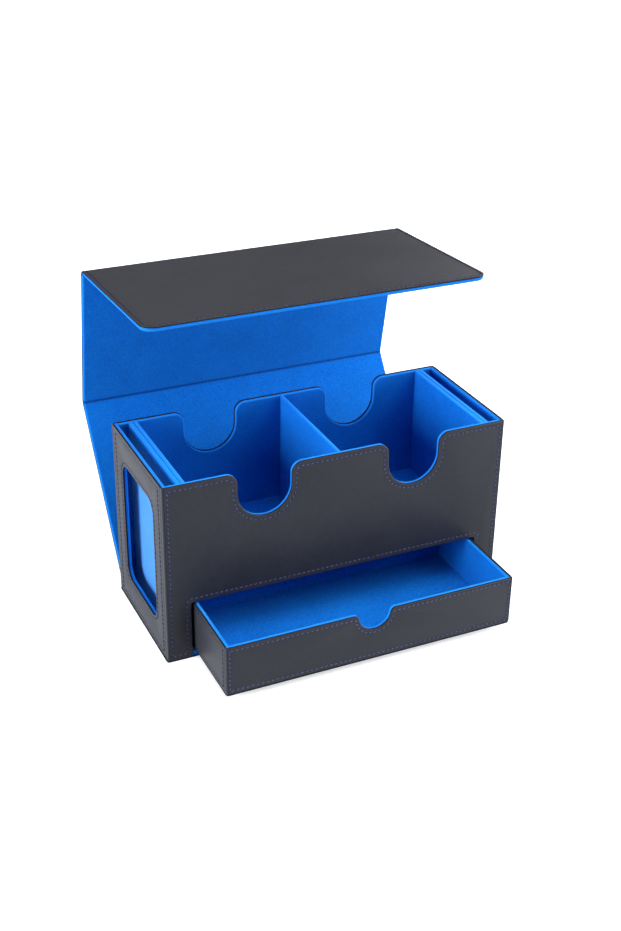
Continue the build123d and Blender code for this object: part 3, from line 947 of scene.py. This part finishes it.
def notched(half, foot):
    """The drawer front's outline, with the finger notch in its top edge."""
    notch = finger_cut(0.0, tray_top, notch_depth, notch_radius, notch_shoulder)
    return outline((-half, foot), (half, foot), (half, tray_top), notch, (-half, tray_top))


tray_back_x = tray_half - leather_thickness
tray_back_y = tray_half_depth - leather_thickness
face_half = tray_back_x - seam_gap
side_half = tray_half_depth - drawer_strip - seam_gap
tray_end = rectangle(-side_half, side_half, tray_foot, tray_top)
tray_leather = {
    "front": (notched(face_half, tray_foot), face_half, tray_back_y),
    "back": (rectangle(-face_half, face_half, tray_foot, tray_top), face_half, tray_back_y),
    "left": (tray_end, side_half, tray_back_x),
    "right": (tray_end, side_half, tray_back_x),
}
for side, (loop, half, out) in tray_leather.items():
    place = tray_place(side, out)
    steps = [upright_steps(loop, half, drawer_front_stitch / drawer_stitch if half == face_half else 1.0)]
    rows = leather_rows(leather_thickness, drawer_stitch)
    if side == "right":
        rows = leather_rows(leather_thickness, drawer_stitch, far_round, lip_width)
    piece = slab(f"drawer_{side}_leather", [loop], rows, place, leather, steps)
    stand_for(piece, f"drawer_{side}_cover", "drawer")
    seams = rim_paths([loop], steps, drawer_stitch)
    stitch_row(f"drawer_{side}_stitches", seams, place, face_height, "drawer", wall_thread[side])
for name, facing in corners.items():
    corner = (tray_half * facing[0], tray_middle + tray_half_depth * facing[1])
    corner_strip(f"drawer_{name}_strip", corner, facing, drawer_strip, tray_foot, tray_top, "drawer")

underside("drawer_bottom_leather", "drawer_bottom_cover", "drawer")

tray_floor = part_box("drawer_bottom_lining")[0].z
inner_half = tray_back_x - drawer_lining
tray_linings = {
    "front": (notched(inner_half, tray_floor), tray_back_y),
    "back": (rectangle(-inner_half, inner_half, tray_floor, tray_top), tray_back_y),
    "left": (rectangle(-tray_back_y, tray_back_y, tray_floor, tray_top), tray_back_x),
    "right": (rectangle(-tray_back_y, tray_back_y, tray_floor, tray_top - far_drop), tray_back_x),
}
tray_rows = lining_rows(drawer_lining, lining_round)
for side, (loop, out) in tray_linings.items():
    piece = slab(f"drawer_{side}_suede", [loop], tray_rows, facing_in(tray_place(side, out)), suede)
    stand_for(piece, f"drawer_{side}_lining", "drawer")
dress(["drawer_bottom_lining"], suede)

# The lid: one wrap with three stiff panels, leather outside, lining inside and turned over the boards'
# edges. The back and top panels run from fold to fold, and the front one has rounded free corners.

lid_half = 119.2 * mm
half_panel = 1.7 * mm
lid_leather = 0.9 * mm
lid_lining = 2 * half_panel - lid_leather
fold_reach = 2.2 * mm
front_length = 128.5 * mm
free_radius = 9.0 * mm
front_lean = math.radians(87.0)
lid_round = 1.0 * mm
lid_stitch = 2.5 * mm
lid_seam = 0.45
lining_margin = 0.35 * mm
inner_thread_sink = 0.45 * mm
inner_thread_dark = (0.0003, 0.062, 0.30, 1)
inner_thread_light = (0.0006, 0.090, 0.40, 1)
# Painted shade where the lining thread goes down into its holes.
inner_hole_shade = (0.0002, 0.040, 0.21, 1)
inner_finish = (0.8, 0.0)
axes = {joint["name"]: np.array(joint["pos_m"]) for joint in frame["joints"] if joint["type"] == "hinge"}
bottom_axis, rear_axis, front_axis = axes["lid_swing"], axes["lid_top_fold"], axes["lid_front_fold"]


def unit(vector):
    """A direction of length one."""
    return np.array(vector) / np.linalg.norm(vector)


back_along = unit(rear_axis - bottom_axis)
top_along = unit(front_axis - rear_axis)
front_along = np.array((0, -math.sin(front_lean), math.cos(front_lean)))


def leather_side(direction):
    """The way a panel's leather faces: its direction turned a quarter to the rear."""
    return np.array((0, direction[2], -direction[1]))


def panel_places(axis, direction):
    """The places of a panel's leather and of its lining, both with their backs where the two meet."""
    outwards = leather_side(direction)
    meeting = axis + outwards * (half_panel - lid_leather)
    return (meeting, (-1, 0, 0), direction, outwards), (meeting, (1, 0, 0), direction, -outwards)


def square_start(loop, start):
    """Inward steps that leave the fold's end square: there they run along the fold alone."""
    steps = inward(loop)
    ends = np.isclose(loop[:, 1], start)
    steps[ends] = np.stack([-np.sign(loop[ends, 0]), np.zeros(ends.sum())], 1)
    return steps


def square_ends(loop):
    """Inward steps that run along the folds alone at both ends."""
    return np.stack([-np.sign(loop[:, 0]), np.zeros(len(loop))], 1)


free_middle = lid_half - free_radius
free_start = front_length - free_radius
flap = outline((-lid_half, fold_reach), (lid_half, fold_reach),
               arc((free_middle, free_start), free_radius, 0, 90),
               arc((-free_middle, free_start), free_radius, 90, 180))
back_length = np.linalg.norm(rear_axis - bottom_axis)
top_length = np.linalg.norm(front_axis - rear_axis)
back_sheet = rectangle(-lid_half, lid_half, fold_reach, back_length - fold_reach)
top_sheet = rectangle(-lid_half, lid_half, fold_reach, top_length - fold_reach)
lid_panels = {
    "back_panel": (bottom_axis, back_along, back_sheet, square_ends(back_sheet), "lid_back"),
    "top_panel": (rear_axis, top_along, top_sheet, square_ends(top_sheet), "lid_top"),
    "front_panel": (front_axis, front_along, flap, square_start(flap, fold_reach), "lid_front"),
}
leather_face = lid_leather - groove_depth + thread_seat
lining_face = lid_lining - inner_thread_sink
inner_colours = (inner_thread_dark, inner_thread_light, inner_hole_shade)
lining_thread = thread_material("lining_thread", *inner_colours, *inner_finish)
lid_leather_rows = leather_rows(lid_leather, lid_stitch)
turned_rows = lining_rows(lid_lining, lid_round, lid_seam)
lid_lining_rows = [(inset + lining_margin, height) for inset, height in turned_rows]
for name, (axis, direction, sheet, steps, body) in lid_panels.items():
    outer, inner = panel_places(axis, direction)
    skin = slab(f"{name}_leather", [sheet], lid_leather_rows, outer, leather, [steps])
    stand_for(skin, f"{name}_cover", body)
    nap = slab(f"{name}_suede", [sheet], lid_lining_rows, inner, suede, [steps])
    stand_for(nap, f"{name}_lining", body)
    seam = sheet + lid_stitch * steps
    seams = [seam[[1, 2]], seam[[3, 0]]] if len(sheet) == 4 else [np.concatenate([seam[1:], seam[:1]])]
    # The lid's outer stitches take the thread's darker copy, painted shade.
    stitch_row(f"{name}_stitches", seams, outer, leather_face, body, shaded_thread)
    stitch_row(f"{name}_inner_stitches", seams, inner, lining_face, body, lining_thread)

# The folds: leather and lining with no board between them, each built bent round its arc. The leather goes
# round the outside and the lining is creased along the inside.

fold_stations = 61
crease_depth = 0.6 * mm
crease_half = 0.8 * mm
# The width of the painted shade along the lining's crease.
crease_shade_half = 1.8 * crease_half
creased_from = 0.6
base_direction = np.array((0, 1, 0))


def fold_section(rows, half, toward):
    """A closed cross-section of a strip across the lid, from its edge rows: (across, height) points."""
    insets, heights = np.array(rows).T
    right_side = np.stack([half - insets, heights * toward], 1)
    left_side = np.stack([insets - half, heights * toward], 1)[::-1]
    return np.concatenate([right_side, left_side])


def fold_piece(name, axis, first, second, rows, toward, crease, material):
    """A strip bent between two panels: its section carried round an arc tangent to both, of radius
    reach / tan(half the turn). The middle of the strip is creased by crease exp(-(s / half width)^2)."""
    turn = math.acos(np.clip(np.dot(first, second), -1, 1))
    radius = fold_reach / math.tan(turn / 2)
    hollow = -leather_side(first)
    start = axis - first * fold_reach
    centre = start + hollow * radius
    insets = np.array(rows)[:, 0]
    section = fold_section(rows, lid_half, toward)
    angle = np.linspace(0, turn, fold_stations)
    outwards = -hollow[None] * np.cos(angle)[:, None] + first[None] * np.sin(angle)[:, None]
    meeting = radius + half_panel - lid_leather
    along_arc = (angle - turn / 2) * radius
    lift = section[None, :, 1] - crease * np.exp(-(along_arc[:, None] / crease_half) ** 2) * (
        np.abs(section[None, :, 1]) > creased_from * np.abs(section[:, 1]).max()) * toward
    reach = meeting + lift
    points = centre + outwards[:, None] * reach[..., None]
    points[..., 0] = section[None, :, 0]
    count = len(section)
    faces = ring_quads(fold_stations, count, 0)
    caps = tessellate_polygon([[Vector((u, w, 0)) for u, w in section]])
    faces += [np.array(corner) for corner in caps]
    faces += [np.array(corner) + (fold_stations - 1) * count for corner in caps]
    piece = new_piece(name, points.reshape(-1, 3), faces, material)
    mark_edge(piece, np.tile(np.concatenate([insets, insets[::-1]]), fold_stations))
    # Painted shade along the lining's crease: the attribute "edge" is set below 0 there, and the suede
    # darkens.
    if crease:
        layer = piece.data.attributes["edge"]
        crease_shade = -np.exp(-(along_arc / crease_shade_half) ** 2)
        layer.data.foreach_set("value", np.repeat(crease_shade, count).astype(np.float32))
    return piece


folds = {
    "bottom_fold": (bottom_axis, base_direction, back_along, "case", "lid_back"),
    "rear_fold": (rear_axis, back_along, top_along, "lid_back", "lid_top"),
    "front_fold": (front_axis, top_along, front_along, "lid_top", "lid_front"),
}
for name, (axis, first, second, before, after) in folds.items():
    skin = fold_piece(f"{name}_leather", axis, first, second, lid_leather_rows, 1, 0.0, leather)
    nap = fold_piece(f"{name}_suede", axis, first, second, lid_lining_rows, -1, crease_depth, suede)
    for piece, part, slot in ((skin, "cover", "leather_cloth"), (nap, "lining", "suede_lining")):
        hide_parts(f"{name}_{part}")
        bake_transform(piece)

# What the leather and lining hide: grey board in every wall and panel, and pairs of disc magnets that hold
# the shut lid against the front wall.

board_colour = (0.30, 0.29, 0.27, 1)
board_pale = (0.42, 0.41, 0.38, 1)
nickel_dark = (0.58, 0.57, 0.54, 1)
nickel_light = (0.68, 0.67, 0.64, 1)
board_roughness = 0.95
fleck_scale = 1500
fleck_span = (0.35, 0.65)
fleck_strength = 0.3
fleck_depth = 0.05 * mm
turning_scale = 2200
turning_span = (0.3, 0.7)
nickel_gloss = (0.22, 0.36)


def board_material():
    """Grey board: pressed recycled fibre, flecked and matt."""
    made, nodes, links, shader = new_material("grey_board")
    place = nodes.new("ShaderNodeTexCoord").outputs["Object"]
    flecks = noise(nodes, links, place, fleck_scale, 4, fine_roughness)
    mottle = spread(nodes, links, flecks, *fleck_span)
    links.new(mix_colours(nodes, links, mottle, board_colour, board_pale), shader.inputs["Base Color"])
    shader.inputs["Roughness"].default_value = board_roughness
    raise_surface(nodes, links, shader, flecks, fleck_strength, fleck_depth)
    return made


def magnet_material():
    """Nickel plate with fine turning marks."""
    made, nodes, links, shader = new_material("nickel_plate")
    place = nodes.new("ShaderNodeTexCoord").outputs["Object"]
    marks = noise(nodes, links, place, turning_scale, 3)
    links.new(spread(nodes, links, marks, *turning_span, *nickel_gloss), shader.inputs["Roughness"])
    links.new(mix_colours(nodes, links, marks, nickel_dark, nickel_light), shader.inputs["Base Color"])
    shader.inputs["Metallic"].default_value = 1.0
    return made


board = board_material()
boards = [name for name in frame["nodes"] if name.endswith("_board") or name == "compartment_floor"]
dress(boards, board)
dress(["case_magnets", "lid_magnets"], magnet_material())
